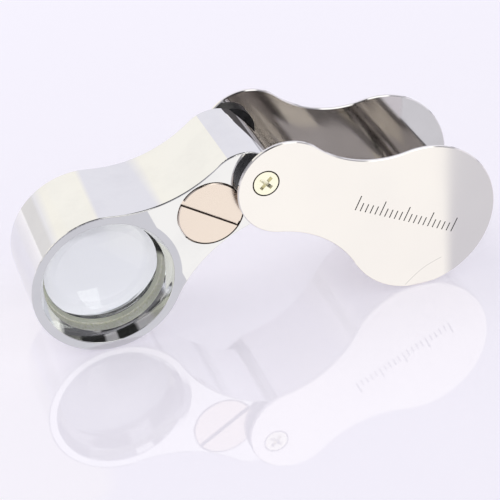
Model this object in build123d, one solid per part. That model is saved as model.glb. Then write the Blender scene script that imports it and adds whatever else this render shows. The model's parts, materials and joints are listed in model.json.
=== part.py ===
"""Folding hand lens with a lamp: a round lens body that swings out of a steel case.

Frame: millimetres, +Z up. The lens stands half open, like an arch, on the rim of its ring and
on the round end of its case. The origin is on the ground, under the middle of the whole object.
X runs from the ring to the case, and Y is the direction that the lens is looked through, with
the object side at -Y and the eye side at +Y.
"""
from build123d import *
from math import asin, cos, degrees, hypot, radians, sin, sqrt
import os

# Lens body: a ring around the lens, a neck that holds the battery, and a lobe on the pivot
RING_RADIUS = 13.0
BODY_DEPTH = 16.9
BODY_RISE = 27.5             # degrees that the body climbs from the ring to the pivot
PIVOT_DISTANCE = 31.0        # from the ring's centre to the pivot
LOBE_DISTANCE = 27.6         # from the ring's centre to the centre of the pivot end's round
LOBE_RADIUS = 6.9
NECK_HOLLOW = 23.5           # radius of the hollow flanks
BODY_EDGE = 0.22

# Lens seat, seen from the object side: a dished rim, a bevel, a short wall and a lip
DISH_RADIUS = 12.75          # outer edge of the rim, which slopes gently inwards
DISH_DEPTH = 0.15
BEVEL_RADIUS = 11.5          # inner edge of the rim
RIM_ROUND = 0.18
WALL_RADIUS = 10.5
WALL_DEPTH = 2.5
LIP_RADIUS = 10.3
LIP_DEPTH = 4.4
SEAT_RADIUS = 9.85
SEAT_DEPTH = 5.1
SEAT_LAND = 0.2              # short straight stretch that the lens rests against
LENS_RADIUS = 10.5           # a 21 mm lens
FRONT_EDGE_DEPTH = 5.58      # depth of the lens's edge: its bulge touches the seat's corner
REAR_SEAT_DEPTH = 5.7        # the same on the eye side, where a spacer ring holds it
REAR_EDGE_DEPTH = 5.8
APERTURE_RADIUS = 10.3
LENS_CURVE = 26.0
CEMENT_CURVE = 22.0
FLINT_EDGE = 1.6             # edge thickness of the two outer elements
CEMENT_FILM = 0.02
FIT_GAP = 0.05
THREAD_RADIUS = 11.3         # of the eye side's retaining ring
SPACER_LENGTH = 2.0
RING_LIP = 0.3               # width of the retaining ring's flat edge
NOTCH_WIDTH = 1.2

# Battery well in the neck
CAP_DISTANCE = 20.7          # from the ring's centre
CAP_RADIUS = 5.65
CAP_PROUD = 0.15
CAP_GAP = 0.2
CAP_RECESS = 1.5
CAP_THREAD_RADIUS = 5.3
CAP_THREAD_DEPTH = 2.95
CAP_SLOT_WIDTH = 0.95
CAP_SLOT_DEPTH = 0.5
CAP_SLOT_ANGLE = -60.0       # from the body's own axis
SEAL_THICKNESS = 0.25
WELL_RADIUS = 5.1
WELL_DEPTH = 13.4
LINER_RADIUS = 5.08
LINER_WALL = 0.25
CELL_RADIUS = 4.75
CELL_HEIGHT = 2.7
CELL_COUNT = 3
INSULATOR_THICKNESS = 0.4
CONTACT_WALL = 0.25

# Lamp in the neck's side of the ring, in front of the lens
LED_DEPTH = 3.45
LED_RADIUS = 0.75
LED_TIP = 10.8               # distances from the ring's centre
LED_BASE = 13.4
LEAD_RADIUS = 0.15
LEAD_SPACING = 0.35          # each lead's distance from the lamp's axis
LEAD_CHANNEL = 14.0          # start of the keyway that takes the live lead down the well
CHANNEL_WIDTH = 2.0

# Pivot
SLEEVE_RADIUS = 2.2
SLEEVE_BORE = 1.25
PIVOT_CLEARANCE = 0.03
WASHER_RADIUS = 4.6
WASHER_GAP = 1.35            # between a body face and the cover
WASHER_PLAY = 0.02
SCREW_HEAD_RADIUS = 2.12
SCREW_HEAD_RIM = 0.3         # straight side of the head, above its cone
SCREW_LENGTH = 6.5
SCREW_GAP = 0.22             # round the head's straight side
SHANK_GAP = 0.12
CROSS_WIDTH = 0.62
CROSS_LENGTH = 2.7
CROSS_DEPTH = 0.9
CROSS_ANGLE = 20.0

# Case: two covers and a spine along its lower side, measured from the pivot
COVER_THICKNESS = 0.7
COVER_EDGE = 0.15
CASE_NEAR_DISTANCE = 3.9     # centre of the small end
CASE_NEAR_RADIUS = 8.45
CASE_FAR_DISTANCE = 31.1     # centre of the large end
CASE_FAR_RADIUS = 13.9
CASE_HOLLOW = 18.9
SPINE_WALL = 0.5
SPINE_START = 4.8
SPINE_END_ANGLE = 14.0       # past the far end, round the large lobe from the case's axis

# Plain measuring scale engraved on the front cover
SCALE_START = 18.0
SCALE_STEP = 1.0
SCALE_MARKS = 21
SCALE_DEPTH = 0.08
SCALE_LINE = 0.2
SCALE_LONG = 2.8
SCALE_SHORT = 1.6
SCALE_BASE = -1.2            # height of the marks' foot, from the case's axis

HALF_BODY = BODY_DEPTH / 2
INNER_HALF = HALF_BODY + WASHER_GAP
OUTER_HALF = INNER_HALF + COVER_THICKNESS

# The ring stands on the ground, and so does the case's large end
RUN = PIVOT_DISTANCE * cos(radians(BODY_RISE))
PIVOT_HEIGHT = RING_RADIUS + PIVOT_DISTANCE * sin(radians(BODY_RISE))
CASE_FALL = degrees(asin((PIVOT_HEIGHT - CASE_FAR_RADIUS) / CASE_FAR_DISTANCE))
CASE_RUN = CASE_FAR_DISTANCE * cos(radians(CASE_FALL))
LENGTH = RING_RADIUS + RUN + CASE_RUN + CASE_FAR_RADIUS
RING_X = RING_RADIUS - LENGTH / 2
PIVOT_X = RING_X + RUN

# Body frame: X from the ring's centre to the pivot. Case frame: X from the pivot to the far end.
BODY_FRAME = Location((RING_X, 0, RING_RADIUS), (0, -BODY_RISE, 0))
CASE_FRAME = Location((PIVOT_X, 0, PIVOT_HEIGHT), (0, CASE_FALL, 0))


def slab(outline, front, back):
    """Solid between two Y planes from an outline drawn in X and Z."""
    face = Pos(0, back, 0) * (Plane.XZ * outline)
    return extrude(face, amount=back - front, dir=(0, -1, 0))


def rod(radius, front, back, x=0.0, z=0.0):
    """Round bar along Y."""
    return slab(Pos(x, z) * Circle(radius), front, back)


def tube(outer, inner, front, back, x=0.0, z=0.0):
    """Round tube along Y."""
    return rod(outer, front, back, x, z) - rod(inner, front - 1, back + 1, x, z)


def turned(points, x=0.0, rounded=None):
    """Solid of revolution about a Y axis, from corner points given as (radius, y).

    One of the corners may be rounded.
    """
    profile = make_face(Polyline([(radius, y, 0) for radius, y in points], close=True))
    if rounded:
        corner = profile.vertices().sort_by_distance((rounded[0], rounded[1], 0))[0]
        profile = fillet(corner, RIM_ROUND)
    return Pos(x, 0, 0) * revolve(profile, Axis.Y)


def twin_lobes(near_radius, far_radius, distance, hollow):
    """Face of two round lobes joined by hollow flanks that are tangent to both."""
    near = near_radius + hollow
    far = far_radius + hollow
    along = (near ** 2 - far ** 2 + distance ** 2) / (2 * distance)
    across = sqrt(near ** 2 - along ** 2)
    near_x, near_y = along * near_radius / near, across * near_radius / near
    far_x = distance + (along - distance) * far_radius / far
    far_y = across * far_radius / far
    waist = across - hollow
    edges = [
        ThreePointArc((near_x, near_y), (-near_radius, 0), (near_x, -near_y)),
        ThreePointArc((near_x, -near_y), (along, -waist), (far_x, -far_y)),
        ThreePointArc((far_x, -far_y), (distance + far_radius, 0), (far_x, far_y)),
        ThreePointArc((far_x, far_y), (along, waist), (near_x, near_y)),
    ]
    return make_face(edges)


def front_opening():
    """Everything to cut ahead of the lens: dished rim, bevel, wall and lip."""
    face = -HALF_BODY
    rim = (BEVEL_RADIUS, face + DISH_DEPTH)
    return turned([
        (0, face - 1),
        (DISH_RADIUS, face - 1),
        (DISH_RADIUS, face),
        rim,
        (WALL_RADIUS, face + WALL_DEPTH),
        (WALL_RADIUS, face + LIP_DEPTH),
        (LIP_RADIUS, face + LIP_DEPTH),
        (SEAT_RADIUS, face + SEAT_DEPTH),
        (SEAT_RADIUS, face + SEAT_DEPTH + SEAT_LAND),
        (0, face + SEAT_DEPTH + SEAT_LAND),
    ], rounded=rim)


def lens_body():
    """Plated casting: ring, hollow-flanked neck and pivot lobe."""
    outline = twin_lobes(RING_RADIUS, LOBE_RADIUS, LOBE_DISTANCE, NECK_HOLLOW)
    body = slab(outline, -HALF_BODY, HALF_BODY)
    rims = body.edges().group_by(Axis.Y)
    body = fillet(rims[0] + rims[-1], BODY_EDGE)
    seat = SEAT_DEPTH + SEAT_LAND - HALF_BODY
    ring_start = HALF_BODY - REAR_SEAT_DEPTH + SPACER_LENGTH
    body -= front_opening()
    body -= rod(LENS_RADIUS + FIT_GAP, seat, HALF_BODY)
    body -= rod(THREAD_RADIUS + FIT_GAP, ring_start, HALF_BODY + 1)
    body -= rod(CAP_RADIUS + CAP_GAP, -HALF_BODY - 1, CAP_RECESS - HALF_BODY, CAP_DISTANCE)
    body -= rod(CAP_THREAD_RADIUS + FIT_GAP, -HALF_BODY, CAP_THREAD_DEPTH - HALF_BODY, CAP_DISTANCE)
    body -= rod(WELL_RADIUS, -HALF_BODY, WELL_DEPTH - HALF_BODY, CAP_DISTANCE)
    body -= rod(SLEEVE_RADIUS + PIVOT_CLEARANCE, -HALF_BODY - 1, HALF_BODY + 1, PIVOT_DISTANCE)
    lamp_y = LED_DEPTH - HALF_BODY
    body -= Pos(0, lamp_y, 0) * bar_x(LED_RADIUS + FIT_GAP, WALL_RADIUS - 1, CAP_DISTANCE)
    well_floor = WELL_DEPTH - HALF_BODY
    body -= block(LEAD_CHANNEL, CAP_DISTANCE, lamp_y, well_floor, CHANNEL_WIDTH)
    return body


def bar_x(radius, start, end):
    """Round bar along X."""
    return extrude(Pos(start, 0, 0) * (Plane.YZ * Circle(radius)), amount=end - start)


def block(x_low, x_high, y_low, y_high, height):
    """Box centred on Z = 0."""
    centre = Pos((x_low + x_high) / 2, (y_low + y_high) / 2, 0)
    return centre * Box(x_high - x_low, y_high - y_low, height)


def dome(radius, curve, edge_y, side):
    """Everything up to a spherical surface that bulges to one side of the plane edge_y."""
    drop = sqrt(curve ** 2 - radius ** 2)
    ball = Pos(0, edge_y - side * drop, 0) * Sphere(curve)
    return ball & rod(radius, -HALF_BODY * 4, HALF_BODY * 4)


def biconvex(radius, curve, front_edge, rear_edge):
    """Lens between two bulging surfaces, from the Y of its two edges."""
    return dome(radius, curve, front_edge, -1) & dome(radius, curve, rear_edge, 1)


def lens_elements():
    """Cemented triplet: a crown element between two flint ones."""
    front_edge = FRONT_EDGE_DEPTH - HALF_BODY
    rear_edge = HALF_BODY - REAR_EDGE_DEPTH
    whole = biconvex(LENS_RADIUS, LENS_CURVE, front_edge, rear_edge)
    front_joint = front_edge + FLINT_EDGE
    rear_joint = rear_edge - FLINT_EDGE
    crown = biconvex(LENS_RADIUS, CEMENT_CURVE, front_joint, rear_joint)
    shells = whole - biconvex(LENS_RADIUS + 1, CEMENT_CURVE, front_joint - CEMENT_FILM,
                              rear_joint + CEMENT_FILM)
    front = shells & slab(Rectangle(60, 60), -HALF_BODY, 0)
    rear = shells & slab(Rectangle(60, 60), 0, HALF_BODY)
    return front, crown, rear


def lens_spacer_ring():
    """Plain ring between the lens's rear edge and the retaining ring."""
    start = HALF_BODY - REAR_SEAT_DEPTH
    return tube(LENS_RADIUS, APERTURE_RADIUS, start, start + SPACER_LENGTH)


def rear_retaining_ring():
    """Threaded ring on the eye side, with a bevel and two notches for a spanner."""
    start = HALF_BODY - REAR_SEAT_DEPTH + SPACER_LENGTH
    face = HALF_BODY - FIT_GAP
    ring = turned([
        (APERTURE_RADIUS, start),
        (THREAD_RADIUS, start),
        (THREAD_RADIUS, face),
        (THREAD_RADIUS - RING_LIP, face),
        (APERTURE_RADIUS, face - WALL_DEPTH),
    ])
    notch = Box(4 * THREAD_RADIUS, 2 * NOTCH_WIDTH, NOTCH_WIDTH)
    return ring - Pos(0, HALF_BODY, 0) * notch


def battery_cap():
    """Screw cap with a coin slot."""
    face = -HALF_BODY - CAP_PROUD
    head_end = CAP_RECESS - SEAL_THICKNESS - HALF_BODY
    head = rod(CAP_RADIUS, face, head_end)
    head = chamfer(head.edges().group_by(Axis.Y)[0], COVER_EDGE)
    thread = rod(CAP_THREAD_RADIUS, head_end, CAP_THREAD_DEPTH - HALF_BODY)
    slot = Pos(0, face, 0) * Box(3 * CAP_RADIUS, 2 * CAP_SLOT_DEPTH, CAP_SLOT_WIDTH)
    cap = head + thread - Rot(0, -CAP_SLOT_ANGLE, 0) * slot
    return Pos(CAP_DISTANCE, 0, 0) * cap


def battery_parts():
    """Everything in the battery well, as a name and a solid."""
    seal_front = CAP_RECESS - SEAL_THICKNESS - HALF_BODY
    seal_outer = CAP_RADIUS
    seal_inner = CAP_THREAD_RADIUS + FIT_GAP
    yield "battery_cap_seal", tube(seal_outer, seal_inner, seal_front, CAP_RECESS - HALF_BODY,
                                   CAP_DISTANCE)
    floor = WELL_DEPTH - HALF_BODY
    pad = floor - INSULATOR_THICKNESS
    yield "contact_insulator", rod(WELL_RADIUS - FIT_GAP, pad, floor, CAP_DISTANCE)
    liner_front = CAP_THREAD_DEPTH - HALF_BODY + FIT_GAP
    liner = tube(LINER_RADIUS, LINER_RADIUS - LINER_WALL, liner_front, pad, CAP_DISTANCE)
    lead_gap = block(LEAD_CHANNEL, CAP_DISTANCE, pad - 1.2, pad + 1, CHANNEL_WIDTH)
    yield "battery_liner", liner - lead_gap
    cell_front = CAP_THREAD_DEPTH - HALF_BODY
    for number in range(CELL_COUNT):
        front = cell_front + number * CELL_HEIGHT
        yield f"button_cell_{number + 1}", button_cell(front)
    spring_front = cell_front + CELL_COUNT * CELL_HEIGHT
    yield "battery_contact_spring", contact_spring(spring_front, pad)


def button_cell(front):
    """Coin-shaped cell: a wide can with a slightly smaller lid on its rear."""
    lid = 0.5
    back = front + CELL_HEIGHT
    can = rod(CELL_RADIUS, front, back - lid, CAP_DISTANCE)
    can = chamfer(can.edges().group_by(Axis.Y)[0], 0.25)
    return can + rod(CELL_RADIUS - 0.8, back - lid, back, CAP_DISTANCE)


def contact_spring(front, back):
    """Dished spring that the cells press on, with a flat foot on the insulator."""
    wall = CONTACT_WALL
    return turned([
        (0.8, front),
        (1.6, front),
        (3.4, back - wall),
        (4.4, back - wall),
        (4.4, back),
        (3.2, back),
        (1.4, front + wall),
        (0.8, front + wall),
    ], CAP_DISTANCE)


def lamp_parts():
    """The lamp, its holder and its two leads, as a name and a solid."""
    lamp_y = LED_DEPTH - HALF_BODY
    axis = Pos(0, lamp_y, 0)
    nose = Pos(LED_TIP + LED_RADIUS, 0, 0) * Sphere(LED_RADIUS)
    yield "led", axis * (bar_x(LED_RADIUS, LED_TIP + LED_RADIUS, LED_BASE) + nose)
    holes = bar_x(LEAD_RADIUS, LED_BASE - 1, CAP_DISTANCE)
    holder_end = CAP_DISTANCE - CAP_THREAD_RADIUS - 2 * FIT_GAP
    holder = bar_x(LED_RADIUS, LED_BASE, holder_end)
    for side in (-1, 1):
        holder -= Pos(0, 0, side * LEAD_SPACING) * holes
    holder -= block(LEAD_CHANNEL + 0.5, CAP_DISTANCE, 0, LED_RADIUS * 2, CHANNEL_WIDTH)
    yield "led_holder", axis * holder
    pad = WELL_DEPTH - HALF_BODY - INSULATOR_THICKNESS
    turn_x = LEAD_CHANNEL + 1.0
    contact_edge = CAP_DISTANCE - 4.4
    live = bar_x(LEAD_RADIUS, LED_BASE, turn_x)
    live += Pos(turn_x, 0, 0) * Sphere(LEAD_RADIUS)
    lead_end = pad - lamp_y - LEAD_RADIUS * 1.05
    live += rod(LEAD_RADIUS, 0, lead_end, turn_x)
    live += Pos(turn_x, lead_end, 0) * Sphere(LEAD_RADIUS * 1.001)
    live += Pos(0, lead_end, 0) * bar_x(LEAD_RADIUS, turn_x, contact_edge)
    yield "led_live_lead", Pos(0, lamp_y, -LEAD_SPACING) * live
    ground = bar_x(LEAD_RADIUS, LED_BASE, turn_x)
    ground += Pos(turn_x, 0, 0) * Sphere(LEAD_RADIUS)
    ground += rod(LEAD_RADIUS, 0, 2.4, turn_x)
    yield "led_ground_lead", Pos(0, lamp_y, LEAD_SPACING) * ground


def pivot_screw():
    """Countersunk screw with a cross recess, its head at -Y and flush with the cover."""
    face = -OUTER_HALF
    neck = SLEEVE_BORE - FIT_GAP
    screw = turned([
        (0, face),
        (SCREW_HEAD_RADIUS, face),
        (SCREW_HEAD_RADIUS, face + SCREW_HEAD_RIM),
        (neck, face + COVER_THICKNESS + FIT_GAP),
        (neck, face + SCREW_LENGTH),
        (0, face + SCREW_LENGTH),
    ])
    arm = Box(CROSS_LENGTH, 2 * CROSS_DEPTH, CROSS_WIDTH)
    for angle in (CROSS_ANGLE, CROSS_ANGLE + 90):
        screw -= Pos(0, face, 0) * Rot(0, angle, 0) * arm
    return screw


def cover():
    """Front cover plate, with its countersunk pivot hole."""
    outline = twin_lobes(CASE_NEAR_RADIUS, CASE_FAR_RADIUS,
                         CASE_FAR_DISTANCE - CASE_NEAR_DISTANCE, CASE_HOLLOW)
    plate = slab(Pos(CASE_NEAR_DISTANCE, 0) * outline, -OUTER_HALF, -INNER_HALF)
    edges = plate.edges().group_by(Axis.Y)
    plate = chamfer(edges[0] + edges[-1], COVER_EDGE)
    wide = SCREW_HEAD_RADIUS + SCREW_GAP
    narrow = SLEEVE_BORE + SHANK_GAP
    hole = turned([
        (0, -OUTER_HALF - 1),
        (wide, -OUTER_HALF - 1),
        (wide, -OUTER_HALF + SCREW_HEAD_RIM),
        (narrow, -INNER_HALF),
        (narrow, -INNER_HALF + 1),
        (0, -INNER_HALF + 1),
    ])
    return plate - hole


def engrave_scale(plate):
    """Row of short lines, one millimetre apart, cut into the front cover."""
    for mark in range(SCALE_MARKS):
        height = SCALE_LONG if mark % 5 == 0 else SCALE_SHORT
        x = SCALE_START + mark * SCALE_STEP
        line = Box(SCALE_LINE, 2 * SCALE_DEPTH, height)
        plate -= Pos(x, -OUTER_HALF, SCALE_BASE + height / 2) * line
    return plate


def case_spine():
    """Curved wall between the covers, along the case's lower side and round its far end."""
    far = CASE_FAR_DISTANCE
    distance = far - CASE_NEAR_DISTANCE
    outer = twin_lobes(CASE_NEAR_RADIUS, CASE_FAR_RADIUS, distance, CASE_HOLLOW)
    inner = twin_lobes(CASE_NEAR_RADIUS - SPINE_WALL, CASE_FAR_RADIUS - SPINE_WALL, distance,
                       CASE_HOLLOW + SPINE_WALL)
    reach = 3 * CASE_FAR_RADIUS
    end_x = far + reach * cos(radians(SPINE_END_ANGLE))
    end_z = reach * sin(radians(SPINE_END_ANGLE))
    corners = [
        (SPINE_START, -1),
        (SPINE_START, -reach),
        (end_x, -reach),
        (end_x, end_z),
        (far, 0),
    ]
    side = make_face(Polyline(corners, close=True))
    wall = (Pos(CASE_NEAR_DISTANCE, 0) * (outer - inner)) & side
    return slab(wall, -INNER_HALF, INNER_HALF)


def rear_side(piece):
    """Turn a front piece round the case's long axis, so that it fits the rear."""
    return mirror(piece, Plane.XZ)


def save(frame, name, piece):
    """Place one piece and write it."""
    placed = frame * piece
    placed.label = name
    export_step(placed, f"parts/{name}.step")


os.makedirs("parts", exist_ok=True)

front_lens, middle_lens, rear_lens = lens_elements()
body_pieces = {
    "lens_body": lens_body(),
    "front_lens_element": front_lens,
    "middle_lens_element": middle_lens,
    "rear_lens_element": rear_lens,
    "lens_spacer_ring": lens_spacer_ring(),
    "rear_retaining_ring": rear_retaining_ring(),
    "battery_cap": battery_cap(),
}
body_pieces.update(battery_parts())
body_pieces.update(lamp_parts())
for name, piece in body_pieces.items():
    save(BODY_FRAME, name, piece)

washer = tube(WASHER_RADIUS, SLEEVE_RADIUS + FIT_GAP, -INNER_HALF, -HALF_BODY - WASHER_PLAY)
case_pieces = {
    "front_cover": engrave_scale(cover()),
    "rear_cover": rear_side(cover()),
    "case_spine": case_spine(),
    "pivot_sleeve": tube(SLEEVE_RADIUS, SLEEVE_BORE, -INNER_HALF, INNER_HALF),
    "front_pivot_screw": pivot_screw(),
    "rear_pivot_screw": rear_side(pivot_screw()),
    "front_washer": washer,
    "rear_washer": rear_side(washer),
}
for name, piece in case_pieces.items():
    save(CASE_FRAME, name, piece)
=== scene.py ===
"""Looks for the folding hand lens: chrome lens body, glass, steel case, plain studio.

Units are metres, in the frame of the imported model: X from the ring to the case, -Y towards the
front cover, Z up, with the ground at zero.
"""
import json
from math import atan2, cos, pi, radians, sin, sqrt

import bmesh
import bpy
from mathutils import Matrix, Vector


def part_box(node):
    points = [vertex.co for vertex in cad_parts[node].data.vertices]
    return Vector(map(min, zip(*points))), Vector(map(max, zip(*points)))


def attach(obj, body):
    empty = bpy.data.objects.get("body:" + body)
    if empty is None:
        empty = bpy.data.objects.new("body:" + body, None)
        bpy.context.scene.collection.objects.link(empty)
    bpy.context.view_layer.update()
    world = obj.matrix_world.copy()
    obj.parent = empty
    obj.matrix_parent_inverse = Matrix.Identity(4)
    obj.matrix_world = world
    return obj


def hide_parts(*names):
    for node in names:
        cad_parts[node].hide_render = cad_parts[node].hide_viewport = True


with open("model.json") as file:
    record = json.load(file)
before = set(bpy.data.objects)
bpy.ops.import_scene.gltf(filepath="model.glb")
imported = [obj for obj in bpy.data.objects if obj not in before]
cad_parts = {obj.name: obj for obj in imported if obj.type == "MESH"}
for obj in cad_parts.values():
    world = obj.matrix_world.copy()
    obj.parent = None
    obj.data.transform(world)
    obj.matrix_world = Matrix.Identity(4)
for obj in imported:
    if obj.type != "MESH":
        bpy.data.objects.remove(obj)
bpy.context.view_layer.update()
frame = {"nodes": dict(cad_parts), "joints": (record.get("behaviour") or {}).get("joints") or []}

MM = 0.001
NODES = frame["nodes"]
JOINTS = {joint["name"]: Vector(joint["pos_m"]) for joint in frame["joints"]}
PIVOT = JOINTS["lens_fold"]
CAP = JOINTS["cap_turn"]

# ---------------------------------------------------------------- places worked out from the frame
HALF_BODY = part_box("lens_body")[1].y
lens_low, lens_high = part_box("middle_lens_element")
LENS_RADIUS = (lens_high.z - lens_low.z) / 2
ring_low, ring_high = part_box("rear_retaining_ring")
RING = (ring_low + ring_high) / 2       # on the lens's axis
RING.y = 0.0
PIVOT_MIDDLE = Vector((PIVOT.x, 0.0, PIVOT.z))
BODY_AXIS = (PIVOT_MIDDLE - RING).normalized()
cover_low, cover_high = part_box("front_cover")
COVER_FACE = cover_low.y
FAR_RADIUS = 13.9 * MM                  # the case's far end, which stands on the ground
CASE_FAR = Vector((cover_high.x - FAR_RADIUS, 0.0, FAR_RADIUS))
CASE_AXIS = (CASE_FAR - PIVOT_MIDDLE).normalized()
CASE_ACROSS = Vector((-CASE_AXIS.z, 0.0, CASE_AXIS.x))
UPWARD = (0.0, 0.0, 1.0)

SMUDGE_SCALE = 140.0                    # cycles per metre, as are all noise scales
HAIRLINE_SCALE = 2200.0


# ---------------------------------------------------------------- node helpers
class Nodes:
    """Small helper around one material's node tree."""

    def __init__(self, name):
        self.material = bpy.data.materials.new(name)
        self.material.use_nodes = True
        self.tree = self.material.node_tree
        self.shader = self.tree.nodes["Principled BSDF"]
        self.coords = self.tree.nodes.new("ShaderNodeTexCoord").outputs["Object"]

    def new(self, kind, **settings):
        node = self.tree.nodes.new(kind)
        for key, value in settings.items():
            setattr(node, key, value)
        return node

    def link(self, output, target):
        self.tree.links.new(output, target)

    def set(self, **sockets):
        for key, value in sockets.items():
            self.shader.inputs[key.replace("_", " ")].default_value = value

    def drive(self, output, socket):
        self.link(output, self.shader.inputs[socket])

    def stretched(self, scale, rotation):
        """Object coordinates, scaled to cycles per metre along each axis."""
        mapping = self.new("ShaderNodeMapping")
        mapping.inputs["Scale"].default_value = scale
        mapping.inputs["Rotation"].default_value = rotation
        self.link(self.coords, mapping.inputs["Vector"])
        return mapping.outputs["Vector"]

    def noise(self, scale, detail, rough, vector=None):
        """Soft noise from 0 to 1; scale is in cycles per metre."""
        node = self.new("ShaderNodeTexNoise")
        node.inputs["Scale"].default_value = scale
        node.inputs["Detail"].default_value = detail
        node.inputs["Roughness"].default_value = rough
        self.link(vector or self.coords, node.inputs["Vector"])
        return node.outputs["Fac"]

    def remap(self, value, low, high, to_low, to_high):
        """Carry one range over to another and hold the ends."""
        node = self.new("ShaderNodeMapRange")
        for socket, number in zip(("From Min", "From Max", "To Min", "To Max"),
                                  (low, high, to_low, to_high)):
            node.inputs[socket].default_value = number
        self.link(value, node.inputs["Value"])
        return node.outputs["Result"]

    def math(self, operation, first, second=None, clamp=False):
        node = self.new("ShaderNodeMath", operation=operation, use_clamp=clamp)
        for socket, value in zip(node.inputs, (first, second)):
            if value is None:
                continue
            if isinstance(value, (int, float)):
                socket.default_value = value
            else:
                self.link(value, socket)
        return node.outputs["Value"]

    def mix(self, factor, first, second):
        """Colour between two colours or colour outputs."""
        node = self.new("ShaderNodeMix", data_type="RGBA")
        colour_inputs = [s for s in node.inputs if s.type == "RGBA"]
        self.link(factor, node.inputs["Factor"])
        for socket, value in zip(colour_inputs, (first, second)):
            if isinstance(value, tuple):
                socket.default_value = (*value, 1.0)
            else:
                self.link(value, socket)
        return next(s for s in node.outputs if s.type == "RGBA")

    def mix_value(self, factor, first, second):
        """Number between two numbers or number outputs."""
        node = self.new("ShaderNodeMix", data_type="FLOAT")
        for socket, value in zip(node.inputs[:1] + node.inputs[2:4], (factor, first, second)):
            if isinstance(value, (int, float)):
                socket.default_value = value
            else:
                self.link(value, socket)
        return node.outputs["Result"]

    def axes(self):
        """X, Y and Z of the object coordinates."""
        parts = self.new("ShaderNodeSeparateXYZ")
        self.link(self.coords, parts.inputs["Vector"])
        return parts.outputs

    def along(self, origin, vector):
        """Distance from a point, measured along a unit vector."""
        shift = self.new("ShaderNodeVectorMath", operation="SUBTRACT")
        self.link(self.coords, shift.inputs[0])
        shift.inputs[1].default_value = origin
        dot = self.new("ShaderNodeVectorMath", operation="DOT_PRODUCT")
        self.link(shift.outputs["Vector"], dot.inputs[0])
        dot.inputs[1].default_value = vector
        return dot.outputs["Value"]

    def bump(self, height, strength, distance, previous=None):
        """Relief from a height; distance is how tall a height of 1 stands."""
        node = self.new("ShaderNodeBump")
        node.inputs["Strength"].default_value = strength
        node.inputs["Distance"].default_value = distance
        self.link(height, node.inputs["Height"])
        if previous:
            self.link(previous, node.inputs["Normal"])
        return node.outputs["Normal"]

    def radius_from(self, point):
        """Distance from the line through a point that runs along Y."""
        shift = self.new("ShaderNodeVectorMath", operation="SUBTRACT")
        self.link(self.coords, shift.inputs[0])
        shift.inputs[1].default_value = (point.x, 0, point.z)
        parts = self.new("ShaderNodeSeparateXYZ")
        self.link(shift.outputs["Vector"], parts.inputs["Vector"])
        across = self.math("MULTIPLY", parts.outputs["X"], parts.outputs["X"])
        upward = self.math("MULTIPLY", parts.outputs["Z"], parts.outputs["Z"])
        return self.math("SQRT", self.math("ADD", across, upward))

    def waviness(self, scale, strength, distance):
        """Slight unevenness of polished sheet or plating."""
        return self.bump(self.noise(scale, 2, 0.4), strength, distance)

    def smudges(self, scale=SMUDGE_SCALE, low=0.42, high=0.72):
        """Patches of finger marks, from 0 to 1."""
        return self.remap(self.noise(scale, 4, 0.6), low, high, 0.0, 1.0)

    def lathe_rings(self, centre, step):
        """Wave that goes round a centre, one crest for each step outwards."""
        return self.math("SINE", self.math("MULTIPLY", self.radius_from(centre), 2 * pi / step))


def paint(material, *names):
    """Give CAD nodes a material."""
    for name in names:
        slots = NODES[name].data.materials
        slots.clear()
        slots.append(material)
        for polygon in NODES[name].data.polygons:
            polygon.material_index = 0


# ---------------------------------------------------------------- materials
SMUDGE_TINT = 0.02                      # how much darker a smudge makes each colour


def smudged_metal(name, colour, roughness, smear=0.05, grain=0.0):
    """Polished metal with finger marks, fine hairlines and a slight waviness."""
    m = Nodes(name)
    m.set(Metallic=1.0)
    marks = m.smudges()
    fine = m.noise(HAIRLINE_SCALE, 2, 0.5)
    base = m.remap(marks, 0, 1, roughness, roughness + smear)
    m.drive(m.math("ADD", base, m.math("MULTIPLY", fine, grain)), "Roughness")
    darker = tuple(max(c - SMUDGE_TINT, 0) for c in colour)
    m.drive(m.mix(marks, colour, darker), "Base Color")
    wave = m.waviness(55, 0.06, 0.05 * MM)
    m.drive(m.bump(fine, 0.05, 0.004 * MM, wave), "Normal")
    return m.material


# The ring's bore, by depth under its front face and by place round its axis
WALL_RADIUS = 10.62 * MM                # everything nearer the axis than this is unplated
WALL_START = 2.45 * MM                  # depths where the cast wall starts and ends
LIP_START = 4.45 * MM
WALL_END = 5.12 * MM
BORE_RADIUS = 11.4 * MM                 # behind the seat
PAINTED_SHADE_START = 8.6 * MM                   # height over the axis where painted shade turns the wall black
PAINTED_SHADE_FADE = 0.8 * MM
TOP_SHADE_EDGE = (1.4 * MM, 2.2 * MM)    # the painted shade fades out here, going towards the neck
CORNER_SHADE_FOOT = (0.6 * MM, 1.6 * MM)     # and a second patch of painted shade starts on the neck's side
CORNER_SHADE_EDGE = (5.4 * MM, 6.2 * MM)
PAINTED_LIGHT_HEIGHTS = (3.0 * MM, 5.0 * MM)        # heights over which painted light turns the wall pale
TURNING_STEP = 0.28 * MM
CAST_SCALE = 2400.0
WALL_DULLNESS = 0.7                     # how far the cast wall is from bare metal

PLATING = ((0.80, 0.80, 0.80), (0.76, 0.76, 0.765))         # clean, then smudged
CAST_WALL = ((0.80, 0.82, 0.64), (1.0, 1.0, 0.93))
LIP_COLOUR = (0.84, 0.87, 0.72)
# colour of the painted light on the wall's upper part
PAINTED_LIGHT_COLOUR = (0.95, 0.95, 0.93)
# colour of the painted shade on the wall's top
PAINTED_SHADE_COLOUR = (0.02, 0.022, 0.018)
BORE_BLACK = (0.012, 0.016, 0.014)


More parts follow.
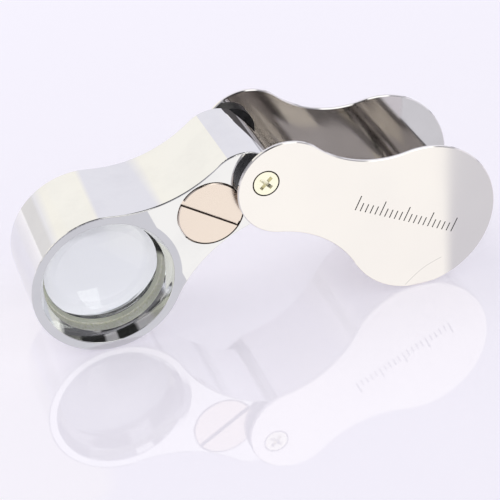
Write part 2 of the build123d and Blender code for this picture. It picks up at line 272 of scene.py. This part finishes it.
def painted_shade_mask(m, height):
    """Two patches of painted shade that blacken the wall: at its top, and on the neck's side of
    that.
    """
    sideways = m.along(RING, (1.0, 0.0, 0.0))
    top = m.remap(height, PAINTED_SHADE_START, PAINTED_SHADE_START + PAINTED_SHADE_FADE, 0.0, 1.0)
    top = m.math("MULTIPLY", top, m.remap(sideways, *TOP_SHADE_EDGE, 1.0, 0.0))
    corner = m.math("MULTIPLY", m.remap(height, *CORNER_SHADE_FOOT, 0.0, 1.0),
                    m.remap(sideways, *CORNER_SHADE_EDGE, 0.0, 1.0))
    return m.math("MAXIMUM", top, corner)


def body_chrome():
    """Mirror plating, a cast grainy wall in front of the lens with painted light part way up it
    and painted shade at its top, and a blackened bore round it.
    """
    m = Nodes("body_chrome")
    radius = m.radius_from(RING)
    depth = m.math("ADD", m.axes()["Y"], HALF_BODY)
    wall = m.math("MULTIPLY", m.math("LESS_THAN", radius, WALL_RADIUS),
                  m.math("GREATER_THAN", depth, WALL_START))
    black = m.math("MULTIPLY", m.math("LESS_THAN", radius, BORE_RADIUS),
                   m.math("GREATER_THAN", depth, WALL_END))
    grain = m.noise(CAST_SCALE, 4, 0.7)
    marks = m.smudges(low=0.45, high=0.75)
    polish = m.remap(marks, 0, 1, 0.02, 0.055)
    rough_wall = m.remap(grain, 0.3, 0.7, 0.26, 0.5)
    m.drive(m.mix_value(wall, polish, rough_wall), "Roughness")
    height = m.along(RING, UPWARD)
    # painted shade: black patches at the wall's top, which also take its metal away
    painted_shade = painted_shade_mask(m, height)
    wall_dull = m.math("MULTIPLY", wall, m.math("MAXIMUM", painted_shade, WALL_DULLNESS))
    dull = m.math("MAXIMUM", black, wall_dull)
    m.drive(m.math("SUBTRACT", 1.0, dull, True), "Metallic")
    cast = m.mix(m.remap(grain, 0.35, 0.65, 0, 1), *CAST_WALL)
    cast = m.mix(m.math("GREATER_THAN", depth, LIP_START), cast, LIP_COLOUR)
    # painted light: the wall turns paler higher up, before the painted shade blackens its top
    cast = m.mix(m.remap(height, *PAINTED_LIGHT_HEIGHTS, 0.0, 1.0), cast, PAINTED_LIGHT_COLOUR)
    cast = m.mix(painted_shade, cast, PAINTED_SHADE_COLOUR)
    shown = m.mix(wall, m.mix(marks, *PLATING), cast)
    m.drive(m.mix(black, shown, BORE_BLACK), "Base Color")
    turned = m.math("SINE", m.math("MULTIPLY", depth, 2 * pi / TURNING_STEP))
    wave = m.waviness(70, 0.07, 0.05 * MM)
    ridges = m.bump(m.math("MULTIPLY", turned, wall), 0.25, 0.03 * MM, wave)
    m.drive(m.bump(m.math("MULTIPLY", grain, wall), 0.6, 0.06 * MM, ridges), "Normal")
    return m.material


BEVEL_RADIUS = 10.97 * MM               # painted shade blackens the retaining ring inside this
BEVEL_HEIGHT = (-3.0 * MM, -1.0 * MM)   # the painted shade sets in over these heights from the axis
RING_PLATING = ((0.88, 0.88, 0.90), (0.84, 0.84, 0.86))
# speckled black of the painted shade on the bevel
RING_PAINTED_SHADE = ((0.010, 0.010, 0.011), (0.030, 0.030, 0.030))


def ring_chrome():
    """Chrome on the retaining ring's outer face, with painted shade blackening the upper part of
    the bevel round the eye's view.
    """
    m = Nodes("ring_chrome")
    # painted shade: the bevel is black over its upper part only
    upper = m.remap(m.along(RING, UPWARD), *BEVEL_HEIGHT, 0.0, 1.0)
    black = m.math("MULTIPLY", m.math("LESS_THAN", m.radius_from(RING), BEVEL_RADIUS), upper)
    speck = m.noise(1500, 3, 0.6)
    marks = m.smudges()
    m.drive(m.math("SUBTRACT", 1.0, black), "Metallic")
    m.drive(m.mix(black, m.mix(marks, *RING_PLATING), m.mix(speck, *RING_PAINTED_SHADE)), "Base Color")
    m.drive(m.mix_value(black, m.remap(marks, 0, 1, 0.03, 0.08), 0.5), "Roughness")
    m.drive(m.bump(m.math("MULTIPLY", speck, black), 0.3, 0.02 * MM), "Normal")
    return m.material


SCRATCH_START = (34.2 * MM, -13.1 * MM)     # along the case's axis and across it, from the pivot
SCRATCH_END = (38.6 * MM, -6.4 * MM)
SCRATCH_BOW = 0.55 * MM
SCRATCH_JITTER = 0.2 * MM
SCRATCH_HALF = 0.06 * MM


def case_point(along, across):
    """Place on the case's middle plane, measured from the pivot."""
    return PIVOT_MIDDLE + CASE_AXIS * along + CASE_ACROSS * across


def scratch_mask(m):
    """One long, slightly bowed scratch near the rim of the front cover."""
    start = case_point(*SCRATCH_START)
    end = case_point(*SCRATCH_END)
    length = (end - start).length
    line = (end - start).normalized()
    side = Vector((-line.z, 0.0, line.x))
    travel = m.along(start, line)
    bow = m.math("SINE", m.math("MULTIPLY", travel, pi / length))
    jitter = m.math("SUBTRACT", m.noise(900, 2, 0.5), 0.5)
    middle = m.math("ADD", m.math("MULTIPLY", bow, SCRATCH_BOW),
                    m.math("MULTIPLY", jitter, SCRATCH_JITTER))
    off = m.math("ABSOLUTE", m.math("SUBTRACT", m.along(start, side), middle))
    mask = m.math("LESS_THAN", off, SCRATCH_HALF)
    mask = m.math("MULTIPLY", mask, m.math("GREATER_THAN", travel, 0.0))
    mask = m.math("MULTIPLY", mask, m.math("LESS_THAN", travel, length))
    return m.math("MULTIPLY", mask, m.math("LESS_THAN", m.axes()["Y"], 0.0))


HOLE_RADIUS = 2.36 * MM                 # countersink of the pivot screws
OUTER_SKIN = 0.2 * MM                   # the outside is what lies less deep than this
CASE_SATIN = ((0.865, 0.835, 0.80), (0.83, 0.80, 0.775))
CASE_MIRROR = ((0.79, 0.775, 0.76), (0.74, 0.725, 0.71))
SCRATCH_COLOUR = (0.45, 0.43, 0.41)
SCRATCH_AMOUNT = 0.55
# painted shade that darkens the countersinks round the pivot screws
COUNTERSINK_SHADE = (0.06, 0.05, 0.04)


def case_steel():
    """Polished stainless sheet: satin outside, a mirror inside, with hairlines along the case."""
    m = Nodes("case_steel")
    m.set(Metallic=1.0)
    tilt = atan2(-CASE_AXIS.z, CASE_AXIS.x)
    lines = m.noise(1.0, 2, 0.5, m.stretched((60, 60, 9000), (0, -tilt, 0)))
    marks = m.smudges(90, 0.42, 0.75)
    clouds = m.remap(m.noise(45, 3, 0.5), 0.35, 0.7, 0.0, 1.0)
    depth = m.math("ABSOLUTE", m.axes()["Y"])
    outside = m.math("GREATER_THAN", depth, abs(COVER_FACE) - OUTER_SKIN)
    rough = m.remap(marks, 0, 1, 0.05, 0.09)
    m.drive(m.math("ADD", rough, m.math("MULTIPLY", outside, 0.07)), "Roughness")
    shown = m.mix(outside, m.mix(marks, *CASE_MIRROR), m.mix(clouds, *CASE_SATIN))
    scratch = m.math("MULTIPLY", scratch_mask(m), SCRATCH_AMOUNT)
    shown = m.mix(scratch, shown, SCRATCH_COLOUR)
    # painted shade: the countersink round the pivot screw is darkened
    countersink_shade = m.math("LESS_THAN", m.radius_from(PIVOT), HOLE_RADIUS)
    m.drive(m.mix(countersink_shade, shown, COUNTERSINK_SHADE), "Base Color")
    wave = m.waviness(40, 0.08, 0.08 * MM)
    m.drive(m.bump(lines, 0.08, 0.004 * MM, wave), "Normal")
    return m.material


CLOUD_SCALE = 420.0


def turned_metal(name, colours, centre, roughness, ring_step):
    """Satin metal with fine lathe rings round a Y axis."""
    m = Nodes(name)
    m.set(Metallic=1.0)
    cloud = m.noise(CLOUD_SCALE, 3, 0.6)
    m.drive(m.remap(cloud, 0.3, 0.7, roughness, roughness + 0.08), "Roughness")
    m.drive(m.mix(cloud, *colours), "Base Color")
    m.drive(m.bump(m.lathe_rings(centre, ring_step), 0.12, 0.006 * MM), "Normal")
    return m.material


def moulded(name, colour, roughness, grain=1600):
    """Plain moulded plastic or rubber with a fine grain."""
    m = Nodes(name)
    speck = m.noise(grain, 3, 0.6)
    m.drive(m.remap(speck, 0.3, 0.7, roughness, roughness + 0.15), "Roughness")
    lighter = tuple(min(c * 1.5 + 0.01, 1) for c in colour)
    m.drive(m.mix(m.remap(speck, 0.4, 0.7, 0, 1), colour, lighter), "Base Color")
    m.drive(m.bump(speck, 0.3, 0.02 * MM), "Normal")
    return m.material


def glass(name, colour, ior=1.52):
    """Clear polished glass with a trace of dust."""
    m = Nodes(name)
    m.set(IOR=ior, Transmission_Weight=1.0)
    dust = m.remap(m.noise(700, 5, 0.7), 0.62, 0.8, 0.0, 0.03)
    m.drive(dust, "Roughness")
    paler = tuple(min(c + 0.015, 1) for c in colour)
    m.drive(m.mix(m.noise(60, 2, 0.5), colour, paler), "Base Color")
    return m.material


SLOT_TURN = radians(-60.0)              # the cap's slot, from the body's own axis
SLOT_HALF = 0.475 * MM
SLOT_SHADE_BAND = (-0.06 * MM, 0.04 * MM)     # the band of painted shade, from inside the slot's wall to past it
SLOT_SUNK = 0.12 * MM
CAP_SATIN = ((0.77, 0.67, 0.585), (0.82, 0.72, 0.635))
# colour of the painted shade in the coin slot
CAP_SLOT_SHADE = (0.10, 0.07, 0.05)
CAP_RING_STEP = 0.22 * MM
SCREW_RING_STEP = 0.3 * MM


def cap_metal():
    """Satin peach nickel with fine lathe rings; painted shade lines the walls of the coin slot."""
    m = Nodes("cap_metal")
    m.set(Metallic=1.0)
    angle = atan2(BODY_AXIS.z, BODY_AXIS.x) + SLOT_TURN
    across = m.math("ABSOLUTE", m.along(CAP, (-sin(angle), 0.0, cos(angle))))
    # painted shade: a dark band along the walls of the coin slot
    wall = m.math("GREATER_THAN", across, SLOT_HALF + SLOT_SHADE_BAND[0])
    inside = m.math("LESS_THAN", across, SLOT_HALF + SLOT_SHADE_BAND[1])
    sunk = m.math("GREATER_THAN", m.axes()["Y"], CAP.y - SLOT_SUNK)
    slot_shade = m.math("MULTIPLY", m.math("MULTIPLY", wall, sunk), inside)
    cloud = m.noise(CLOUD_SCALE, 3, 0.6)
    m.drive(m.remap(cloud, 0.3, 0.7, 0.15, 0.24), "Roughness")
    m.drive(m.mix(slot_shade, m.mix(cloud, *CAP_SATIN), CAP_SLOT_SHADE), "Base Color")
    m.drive(m.bump(m.lathe_rings(CAP, CAP_RING_STEP), 0.1, 0.005 * MM), "Normal")
    return m.material


SCREW_SATIN = ((0.90, 0.87, 0.68), (0.97, 0.95, 0.80))

paint(body_chrome(), "lens_body")
paint(ring_chrome(), "rear_retaining_ring")
paint(smudged_metal("spacer_metal", (0.05, 0.055, 0.045), 0.4, 0.1, 0.1), "lens_spacer_ring")
paint(case_steel(), "front_cover", "rear_cover", "case_spine")
paint(cap_metal(), "battery_cap")
paint(turned_metal("screw_metal", SCREW_SATIN, PIVOT, 0.22, SCREW_RING_STEP),
      "front_pivot_screw", "rear_pivot_screw")
paint(smudged_metal("sleeve_steel", (0.55, 0.55, 0.56), 0.2), "pivot_sleeve")
paint(moulded("washer_plastic", (0.012, 0.012, 0.013), 0.35), "front_washer", "rear_washer")
paint(moulded("seal_rubber", (0.015, 0.015, 0.015), 0.5), "battery_cap_seal")
paint(moulded("inner_plastic", (0.05, 0.05, 0.05), 0.4),
      "contact_insulator", "battery_liner", "led_holder")
paint(smudged_metal("cell_steel", (0.72, 0.72, 0.73), 0.2),
      "button_cell_1", "button_cell_2", "button_cell_3")
paint(smudged_metal("contact_brass", (0.80, 0.62, 0.30), 0.2), "battery_contact_spring")
paint(smudged_metal("lead_metal", (0.75, 0.75, 0.74), 0.3), "led_live_lead", "led_ground_lead")
paint(glass("lamp_clear", (0.95, 0.96, 0.92), 1.5), "led")
GLASS = glass("lens_glass", (0.87, 0.905, 0.885))
paint(GLASS, "front_lens_element", "middle_lens_element", "rear_lens_element")


# ---------------------------------------------------------------- lens
def mesh_piece(name, mesh, material, body):
    """Link a bmesh as a finished piece."""
    data = bpy.data.meshes.new(name)
    mesh.to_mesh(data)
    mesh.free()
    piece = bpy.data.objects.new(name, data)
    bpy.context.scene.collection.objects.link(piece)
    data.materials.append(material)
    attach(piece, body)
    return piece


ON_AXIS = 1e-9                          # radii smaller than this are the axis itself


def lathe(profile, centre, steps=192):
    """Closed surface of revolution round the Y axis through centre, from (radius, y) points."""
    mesh = bmesh.new()
    rows = []
    for radius, y in profile:
        if radius < ON_AXIS:
            rows.append([mesh.verts.new((centre.x, y, centre.z))])
            continue
        row = []
        for step in range(steps):
            angle = 2 * pi * step / steps
            row.append(mesh.verts.new((centre.x + radius * cos(angle), y,
                                       centre.z + radius * sin(angle))))
        rows.append(row)
    for row, after in zip(rows, rows[1:]):
        for step in range(steps):
            following = (step + 1) % steps
            corners = [row[step % len(row)], row[following % len(row)],
                       after[following % len(after)], after[step % len(after)]]
            unique = list(dict.fromkeys(corners))
            if len(unique) > 2:
                mesh.faces.new(unique)
    bmesh.ops.recalc_face_normals(mesh, faces=mesh.faces)
    for face in mesh.faces:
        face.smooth = True
    return mesh


LENS_CURVE = 26.0 * MM
LENS_ARC_STEPS = 36
LENS_POLISHED = 0.985                   # share of the radius inside the ground bevel
LENS_BEVEL = 0.25 * MM


def lens_drop(radius):
    """How far a lens surface falls back from its middle at a radius."""
    return LENS_CURVE - sqrt(LENS_CURVE ** 2 - radius * radius)


def lens_profile():
    """Half section of the cemented lens, with a small ground bevel at each edge."""
    front_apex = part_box("front_lens_element")[0].y
    rear_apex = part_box("rear_lens_element")[1].y
    arcs = []
    for side, apex in ((-1, front_apex), (1, rear_apex)):
        arc = []
        for step in range(LENS_ARC_STEPS + 1):
            radius = LENS_RADIUS * LENS_POLISHED * step / LENS_ARC_STEPS
            arc.append((radius, apex - side * lens_drop(radius)))
        arc.append((LENS_RADIUS, apex - side * (lens_drop(LENS_RADIUS) + LENS_BEVEL)))
        arcs.append(arc)
    return arcs[0] + arcs[1][::-1]


lens = mesh_piece("lens_glass", lathe(lens_profile(), RING), GLASS, "lens")
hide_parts("front_lens_element", "middle_lens_element", "rear_lens_element")


# ---------------------------------------------------------------- ink of the engraved scale
SCALE_START = 18.0 * MM
SCALE_STEP = 1.0 * MM
SCALE_MARKS = 21
SCALE_LONG = 2.8 * MM                   # every fifth mark
SCALE_SHORT = 1.6 * MM
SCALE_BASE = -1.2 * MM
INK_HALF = 0.095 * MM
INK_SUNK = 0.012 * MM                   # crest of the ink, under the cover's face
INK_DOME = 0.02 * MM                    # how far its sides lie under the crest
INK_FOOT = 0.06 * MM
INK_ENDS = (0.01, 0.99)                 # shares of the mark's length


def ink_mark(mesh, start, length):
    """One groove's filling: a domed skin of two strips, side walls, ends and a foot."""
    def rail(offset, sunk):
        rail_points = []
        for share in INK_ENDS:
            place = case_point(start + offset, SCALE_BASE + share * length)
            place.y = COVER_FACE + sunk
            rail_points.append(mesh.verts.new(place))
        return rail_points

    left = rail(-INK_HALF, INK_SUNK + INK_DOME)
    crest = rail(0.0, INK_SUNK)
    right = rail(INK_HALF, INK_SUNK + INK_DOME)
    left_foot = rail(-INK_HALF, INK_FOOT)
    right_foot = rail(INK_HALF, INK_FOOT)
    for first, second in ((left, crest), (crest, right), (left, left_foot), (right, right_foot),
                          (left_foot, right_foot)):
        mesh.faces.new((first[0], first[1], second[1], second[0]))
    for end in (0, 1):
        mesh.faces.new((left[end], crest[end], right[end], right_foot[end], left_foot[end]))


def scale_ink():
    """Black fillings of the scale's grooves."""
    mesh = bmesh.new()
    for mark in range(SCALE_MARKS):
        length = SCALE_LONG if mark % 5 == 0 else SCALE_SHORT
        ink_mark(mesh, SCALE_START + mark * SCALE_STEP, length)
    bmesh.ops.recalc_face_normals(mesh, faces=mesh.faces)
    ink = moulded("scale_ink", (0.012, 0.012, 0.012), 0.45)
    return mesh_piece("scale_ink", mesh, ink, "case")


scale_ink()


# ---------------------------------------------------------------- studio
def plane(name, corners, material):
    """Flat stage piece from four corners."""
    data = bpy.data.meshes.new(name)
    data.from_pydata([tuple(c) for c in corners], [], [(0, 1, 2, 3)])
    piece = bpy.data.objects.new(name, data)
    data.materials.append(material)
    bpy.context.scene.collection.objects.link(piece)
    return piece


def only_in_reflections(piece):
    """Hide a piece from everything but polished surfaces."""
    piece.visible_camera = False
    piece.visible_diffuse = False
    piece.visible_shadow = False
    piece.visible_transmission = False


def give_light(m, colour, strength, amount=None):
    """Turn a material into plain light; amount is how opaque it is."""
    emit = m.new("ShaderNodeEmission")
    emit.inputs["Strength"].default_value = strength
    m.link(colour, emit.inputs["Color"])
    blend = m.new("ShaderNodeMixShader")
    if amount:
        m.link(amount, blend.inputs[0])
    else:
        blend.inputs[0].default_value = 1.0
    m.link(m.new("ShaderNodeBsdfTransparent").outputs[0], blend.inputs[1])
    m.link(emit.outputs[0], blend.inputs[2])
    m.tree.nodes.remove(m.shader)
    m.link(blend.outputs[0], m.tree.nodes["Material Output"].inputs["Surface"])


def direction(azimuth, elevation):
    """Unit vector; azimuth 0 is +Y and grows towards +X."""
    a, e = radians(azimuth), radians(elevation)
    return Vector((sin(a) * cos(e), cos(a) * cos(e), sin(e)))


CARD_DISTANCE = 1.2
CARD_STEPS = 24
CARD_BEND = 0.3                         # how fast a slanted card comes nearer at first


def edge_fades(m, value, limits, fades):
    """Ramps, in radians, that rise from both limits; a fade of zero degrees gives none."""
    ramps = []
    for limit, fade in ((limits[0], fades[0]), (limits[1], -fades[1])):
        if fade:
            ramps.append(m.remap(value, radians(limit), radians(limit) + radians(fade), 0.0, 1.0))
    return ramps


def soft_glow(name, colours, strength, centre, azimuths, elevations, fades, mottle):
    """Light-giving surface that fades out at its four sides, measured as seen from centre."""
    m = Nodes(name)
    shift = m.new("ShaderNodeVectorMath", operation="SUBTRACT")
    m.link(m.coords, shift.inputs[0])
    shift.inputs[1].default_value = centre
    unit = m.new("ShaderNodeVectorMath", operation="NORMALIZE")
    m.link(shift.outputs["Vector"], unit.inputs[0])
    parts = m.new("ShaderNodeSeparateXYZ")
    m.link(unit.outputs["Vector"], parts.inputs["Vector"])
    azimuth = m.math("ARCTAN2", parts.outputs["X"], parts.outputs["Y"])
    elevation = m.math("ARCSINE", parts.outputs["Z"])
    amount = None
    for part in (edge_fades(m, azimuth, azimuths, fades[0:2])
                 + edge_fades(m, elevation, elevations, fades[2:4])):
        amount = m.math("MULTIPLY", amount, part) if amount else part
    cloud = m.remap(m.noise(mottle, 2, 0.5, unit.outputs["Vector"]), 0.35, 0.65, 0.0, 1.0)
    give_light(m, m.mix(cloud, *colours), strength, amount)
    return m.material


def card(name, azimuths, elevations, colours, strength, fades=(0, 0, 0, 0), near=CARD_DISTANCE,
         far=None, centre=(0, 0, 0), mottle=2.0):
    """Patch of a sphere round a point, seen only in reflections.

    Angles are in degrees. With far given, its distance goes from far at the first azimuth to
    near at the last one.
    """
    far = near if far is None else far
    mesh = bmesh.new()
    grid = []
    for column in range(CARD_STEPS + 1):
        part = column / CARD_STEPS
        azimuth = azimuths[0] + (azimuths[1] - azimuths[0]) * part
        distance = far + (near - far) * part ** CARD_BEND
        row = []
        for level in range(CARD_STEPS + 1):
            elevation = elevations[0] + (elevations[1] - elevations[0]) * level / CARD_STEPS
            row.append(mesh.verts.new(direction(azimuth, elevation) * distance + Vector(centre)))
        grid.append(row)
    for row, after in zip(grid, grid[1:]):
        for level in range(CARD_STEPS):
            mesh.faces.new((row[level], after[level], after[level + 1], row[level + 1]))
    data = bpy.data.meshes.new(name)
    mesh.to_mesh(data)
    mesh.free()
    piece = bpy.data.objects.new(name, data)
    data.materials.append(soft_glow(name, colours, strength, centre, azimuths, elevations, fades,
                                    mottle))
    bpy.context.scene.collection.objects.link(piece)
    only_in_reflections(piece)
    return piece


def floor_material():
    """White acrylic table top, lit from under as well as from over."""
    m = Nodes("table_top")
    m.set(IOR=2.0)
    m.set(Emission_Color=(0.92, 0.885, 0.965, 1.0), Emission_Strength=0.34)
    m.drive(m.remap(m.noise(9, 2, 0.5), 0.3, 0.7, 0.0, 0.02), "Roughness")
    m.drive(m.mix(m.noise(3, 2, 0.5), (0.80, 0.785, 0.84), (0.82, 0.805, 0.86)), "Base Color")
    return m.material


FLOOR_REACH = 6.0

plane("table_top", [(-FLOOR_REACH, -FLOOR_REACH, 0), (FLOOR_REACH, -FLOOR_REACH, 0),
                    (FLOOR_REACH, FLOOR_REACH, 0), (-FLOOR_REACH, FLOOR_REACH, 0)],
      floor_material())

# Colours of the cards, each mottled between two
WARM = ((1.0, 0.965, 0.875), (1.0, 0.975, 0.91))
LAVENDER = ((0.87, 0.865, 0.95), (0.90, 0.89, 0.96))
BROWN = ((0.87, 0.85, 0.85), (0.91, 0.885, 0.88))
DARK = ((0.015, 0.015, 0.017), (0.085, 0.08, 0.08))
ROOM = ((0.10, 0.095, 0.10), (0.17, 0.16, 0.17))
WHITE = ((1.0, 1.0, 1.0), (1.0, 0.99, 0.97))

card("cream_wall", (-100, 11), (10, 50), WARM, 1.13, fades=(4, 5, 9, 2), near=0.066, far=0.9,
     centre=(RING.x, 0, 0.026))
card("lavender_wall", (-60, 110), (3, 50), LAVENDER, 1.06, fades=(0, 4, 3, 2))
card("brown_gap", (-120, -15), (-20, 15), BROWN, 1.0, fades=(10, 10, 16, 3),
     near=CARD_DISTANCE - 0.05)
card("dark_ceiling", (-180, 180), (50, 89.5), DARK, 1.0, mottle=3.0)
card("ceiling_panel", (25, 70), (62, 76), WHITE, 2.0, fades=(2, 2, 2, 2),
     near=CARD_DISTANCE - 0.05)
card("front_room", (125, 235), (-2, 50), ROOM, 1.0, fades=(10, 10, 0, 2))
card("front_softbox", (138, 182), (25, 58), WHITE, 1.7, fades=(3, 3, 2, 2),
     near=CARD_DISTANCE - 0.1)
card("top_softbox", (120, 156), (44, 60), WHITE, 1.5, fades=(3, 0, 2, 2),
     near=CARD_DISTANCE - 0.12)
window = card("lens_window", (143, 172), (14, 58), WHITE, 3.5, fades=(1, 1, 1, 1),
              near=CARD_DISTANCE - 0.15)
window.visible_glossy = False
window.visible_transmission = True

BOUNCE_LEFT = -11.0 * MM
BOUNCE_RIGHT = 28.9 * MM                # where the slanted edge passes the case
BOUNCE_SLANT = -0.468                   # how far that edge moves along X for each step along Y
BOUNCE_FADE = 2.0 * MM
BOUNCE_REACH = 160.0 * MM
BOUNCE_LIFT = 0.4 * MM
BOUNCE_WHITE = (1.12, 1.103, 1.092)
BOUNCE_GREY = (0.745, 0.74, 0.80)


def bounce_card():
    """Bright sheet on a grey one, on the table before the object, seen only in polished faces.

    The bright sheet's right edge runs away at a slant and fades out. Both show only from above.
    """
    m = Nodes("bounce_card")
    place = m.axes()
    edge = m.math("ADD", m.math("MULTIPLY", place["Y"], BOUNCE_SLANT), BOUNCE_RIGHT)
    inside = m.remap(m.math("SUBTRACT", edge, place["X"]), 0.0, BOUNCE_FADE, 0.0, 1.0)
    bright = m.math("MULTIPLY", inside, m.math("GREATER_THAN", place["X"], BOUNCE_LEFT))
    from_below = m.new("ShaderNodeNewGeometry").outputs["Backfacing"]
    give_light(m, m.mix(bright, BOUNCE_GREY, BOUNCE_WHITE), 1.0,
               m.math("SUBTRACT", 1.0, from_below))
    sheet = plane("bounce_card", [(-BOUNCE_REACH, -BOUNCE_REACH, BOUNCE_LIFT),
                                  (BOUNCE_REACH, -BOUNCE_REACH, BOUNCE_LIFT),
                                  (BOUNCE_REACH, COVER_FACE, BOUNCE_LIFT),
                                  (-BOUNCE_REACH, COVER_FACE, BOUNCE_LIFT)], m.material)
    only_in_reflections(sheet)


bounce_card()

SKY_COLOUR = (0.93, 0.92, 1.0, 1.0)
SKY_STRENGTH = 0.5

world = bpy.data.worlds.new("studio")
bpy.context.scene.world = world
world.use_nodes = True
background = world.node_tree.nodes["Background"]
background.inputs["Color"].default_value = SKY_COLOUR
background.inputs["Strength"].default_value = SKY_STRENGTH


def soft_light(name, azimuth, elevation, distance, size, power, colour):
    """Square area light that faces the object; angles in degrees, power in watts."""
    data = bpy.data.lights.new(name, "AREA")
    data.size = size
    data.energy = power
    data.color = colour
    light = bpy.data.objects.new(name, data)
    light.location = direction(azimuth, elevation) * distance
    light.rotation_euler = (-light.location).to_track_quat("-Z", "Y").to_euler()
    light.visible_glossy = False
    bpy.context.scene.collection.objects.link(light)


soft_light("key_light", azimuth=-60, elevation=55, distance=1.0, size=0.9, power=2.2,
           colour=(1.0, 0.98, 0.95))
soft_light("fill_light", azimuth=150, elevation=45, distance=1.2, size=1.2, power=1.2,
           colour=(0.96, 0.96, 1.0))


# ---------------------------------------------------------------- camera
CAMERA_AIM = Vector((-0.737, 0.0, 8.051)) * MM      # under the pivot
CAMERA_DISTANCE = 279.06 * MM
CAMERA_AZIMUTH = radians(17.556)        # of the line of sight, from +Y towards +X
CAMERA_DROP = radians(32.772)
CAMERA_TILT = radians(-2.731)
CAMERA_LENS = 114.06                    # millimetres, as is the sensor's width
CAMERA_SENSOR = 36.0
CAMERA_CLIP = (0.01, 20.0)
MIRROR_BOUNCES = 12                     # the two covers face each other like parallel mirrors


def camera():
    """View from the front left and above."""
    forward = Vector((sin(CAMERA_AZIMUTH) * cos(CAMERA_DROP),
                      cos(CAMERA_AZIMUTH) * cos(CAMERA_DROP), -sin(CAMERA_DROP)))
    right = forward.cross(Vector(UPWARD)).normalized()
    up = right.cross(forward)
    turned_right = right * cos(CAMERA_TILT) + up * sin(CAMERA_TILT)
    turned_up = up * cos(CAMERA_TILT) - right * sin(CAMERA_TILT)
    data = bpy.data.cameras.new("camera")
    data.sensor_width = CAMERA_SENSOR
    data.lens = CAMERA_LENS
    data.clip_start, data.clip_end = CAMERA_CLIP
    view = bpy.data.objects.new("camera", data)
    axes = Matrix((turned_right, turned_up, -forward)).transposed()
    view.matrix_world = Matrix.Translation(CAMERA_AIM - forward * CAMERA_DISTANCE) @ axes.to_4x4()
    bpy.context.scene.collection.objects.link(view)
    bpy.context.scene.camera = view


camera()
bpy.context.scene.view_settings.view_transform = "Standard"
bpy.context.scene.cycles.glossy_bounces = MIRROR_BOUNCES
